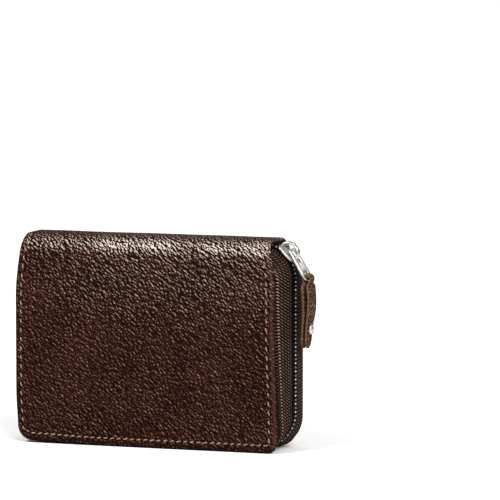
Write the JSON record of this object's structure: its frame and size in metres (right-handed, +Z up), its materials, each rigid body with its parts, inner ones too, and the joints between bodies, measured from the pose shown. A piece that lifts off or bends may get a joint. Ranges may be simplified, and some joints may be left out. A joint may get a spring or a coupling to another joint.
{
  "type": "zip-around card holder",
  "caption": "Zip-around leather card holder with stitched covers, a folded spine, an accordion of card pockets, zip tape and chain, slider and a leather pull tab.",
  "frame": {"origin": "bottom centre of the bounding box, on the surface that the closed holder stands on", "axes": "+X along the spine towards the slider, +Y out of the back cover (the front cover faces -Y), +Z up to the spine"},
  "size_m": [0.1153, 0.024, 0.078],
  "materials": {
    "outer_leather": "pebbled, semi-gloss",
    "inner_leather": "pebbled, semi-gloss",
    "lining": "smooth, matt",
    "board": "stiff fibre board",
    "thread": "twisted polyester thread",
    "zip_tape": "herringbone twill",
    "zip_chain": "moulded coil, pale at the tips",
    "tab_leather": "smooth, folded double",
    "nickel": "polished nickel plate"
  },
  "bodies": {
    "back_cover": {"back_cover_leather": "outer_leather", "back_cover_board": "board", "back_cover_lining": "lining", "back_slip_pocket": "inner_leather", "back_cover_stitching": "thread", "back_zip_tape": "zip_tape", "back_zip_chain": "zip_chain", "back_pocket_leaf": "lining", "pocket_1_gusset": "lining"},
    "spine": {"spine_leather": "outer_leather", "spine_lining": "lining", "zip_end_left": "zip_tape", "zip_end_right": "zip_tape"},
    "front_cover": {"front_cover_leather": "outer_leather", "front_cover_board": "board", "front_cover_lining": "lining", "front_slip_pocket": "inner_leather", "front_cover_stitching": "thread", "front_zip_tape": "zip_tape", "front_zip_chain": "zip_chain"},
    "slider": {"slider_body": "nickel", "slider_bridge": "nickel"},
    "pull_link": {"pull_link": "nickel"},
    "pull_tab": {"pull_tab_leather": "tab_leather", "pull_tab_rivet": "nickel"},
    "leaf_1": {"divider_1": "lining", "pocket_2_gusset": "lining"},
    "leaf_2": {"divider_2": "lining", "pocket_3_gusset": "lining"},
    "leaf_3": {"divider_3": "lining", "pocket_4_gusset": "lining"},
    "leaf_4": {"divider_4": "lining", "pocket_5_gusset": "lining"},
    "leaf_5": {"divider_5": "lining", "pocket_6_gusset": "lining"},
    "leaf_6": {"divider_6": "lining", "pocket_7_gusset": "lining"},
    "leaf_7": {"divider_7": "lining", "pocket_8_gusset": "lining"},
    "leaf_8": {"divider_8": "lining", "pocket_9_gusset": "lining"},
    "leaf_9": {"front_pocket_leaf": "lining"}
  },
  "joints": [
    {"name": "spine_fold", "type": "hinge", "parent": "back_cover", "child": "spine", "pos_m": [-0.00332, 0.012, 0.07], "axis": [-1, 0, 0], "range_deg": [0, 50]},
    {"name": "cover_fold", "type": "hinge", "parent": "spine", "child": "front_cover", "pos_m": [-0.00332, -0.012, 0.07], "axis": [-1, 0, 0], "range_deg": [0, 50.5]},
    {"name": "leaf_1_turn", "type": "hinge", "parent": "back_cover", "child": "leaf_1", "pos_m": [-0.00332, 0.00631, 0.0712], "axis": [-1, 0, 0], "range_deg": [0, 11.3], "deforming": ["pocket_1_gusset"]},
    {"name": "leaf_2_turn", "type": "hinge", "parent": "leaf_1", "child": "leaf_2", "pos_m": [-0.00332, 0.00473, 0.0712], "axis": [-1, 0, 0], "range_deg": [0, 11.3], "deforming": ["pocket_2_gusset"]},
    {"name": "leaf_3_turn", "type": "hinge", "parent": "leaf_2", "child": "leaf_3", "pos_m": [-0.00332, 0.00316, 0.0712], "axis": [-1, 0, 0], "range_deg": [0, 11.3], "deforming": ["pocket_3_gusset"]},
    {"name": "leaf_4_turn", "type": "hinge", "parent": "leaf_3", "child": "leaf_4", "pos_m": [-0.00332, 0.00158, 0.0712], "axis": [-1, 0, 0], "range_deg": [0, 11.3], "deforming": ["pocket_4_gusset"]},
    {"name": "leaf_5_turn", "type": "hinge", "parent": "leaf_4", "child": "leaf_5", "pos_m": [-0.00332, 0, 0.0712], "axis": [-1, 0, 0], "range_deg": [0, 11.3], "deforming": ["pocket_5_gusset"]},
    {"name": "leaf_6_turn", "type": "hinge", "parent": "leaf_5", "child": "leaf_6", "pos_m": [-0.00332, -0.00158, 0.0712], "axis": [-1, 0, 0], "range_deg": [0, 11.3], "deforming": ["pocket_6_gusset"]},
    {"name": "leaf_7_turn", "type": "hinge", "parent": "leaf_6", "child": "leaf_7", "pos_m": [-0.00332, -0.00316, 0.0712], "axis": [-1, 0, 0], "range_deg": [0, 11.3], "deforming": ["pocket_7_gusset"]},
    {"name": "leaf_8_turn", "type": "hinge", "parent": "leaf_7", "child": "leaf_8", "pos_m": [-0.00332, -0.00473, 0.0712], "axis": [-1, 0, 0], "range_deg": [0, 11.3], "deforming": ["pocket_8_gusset"]},
    {"name": "leaf_9_turn", "type": "hinge", "parent": "leaf_8", "child": "leaf_9", "pos_m": [-0.00332, -0.00631, 0.0712], "axis": [-1, 0, 0], "range_deg": [0, 11.3], "deforming": ["pocket_9_gusset"]},
    {"name": "slider_run", "type": "hinge", "parent": "spine", "child": "slider", "pos_m": [0.03818, 0, 0.0634], "axis": [0, 1, 0], "range_deg": [0, 30]},
    {"name": "link_swing", "type": "hinge", "parent": "slider", "child": "pull_link", "pos_m": [0.04942, 0, 0.07394], "axis": [0, -1, 0], "range_deg": [0, 90]},
    {"name": "tab_swing", "type": "hinge", "parent": "pull_link", "child": "pull_tab", "pos_m": [0.05562, 0, 0.06364], "axis": [0, -1, 0], "range_deg": [0, 30]}
  ],
  "couplings": [
    {"joint": "cover_fold", "follows": "spine_fold", "ratio": 1},
    {"joint": "leaf_1_turn", "follows": "spine_fold", "ratio": 0.2222},
    {"joint": "leaf_2_turn", "follows": "spine_fold", "ratio": 0.2222},
    {"joint": "leaf_3_turn", "follows": "spine_fold", "ratio": 0.2222},
    {"joint": "leaf_4_turn", "follows": "spine_fold", "ratio": 0.2222},
    {"joint": "leaf_5_turn", "follows": "spine_fold", "ratio": 0.2222},
    {"joint": "leaf_6_turn", "follows": "spine_fold", "ratio": 0.2222},
    {"joint": "leaf_7_turn", "follows": "spine_fold", "ratio": 0.2222},
    {"joint": "leaf_8_turn", "follows": "spine_fold", "ratio": 0.2222},
    {"joint": "leaf_9_turn", "follows": "spine_fold", "ratio": 0.2222},
    {"joint": "tab_swing", "follows": "slider_run", "ratio": 1}
  ]
}
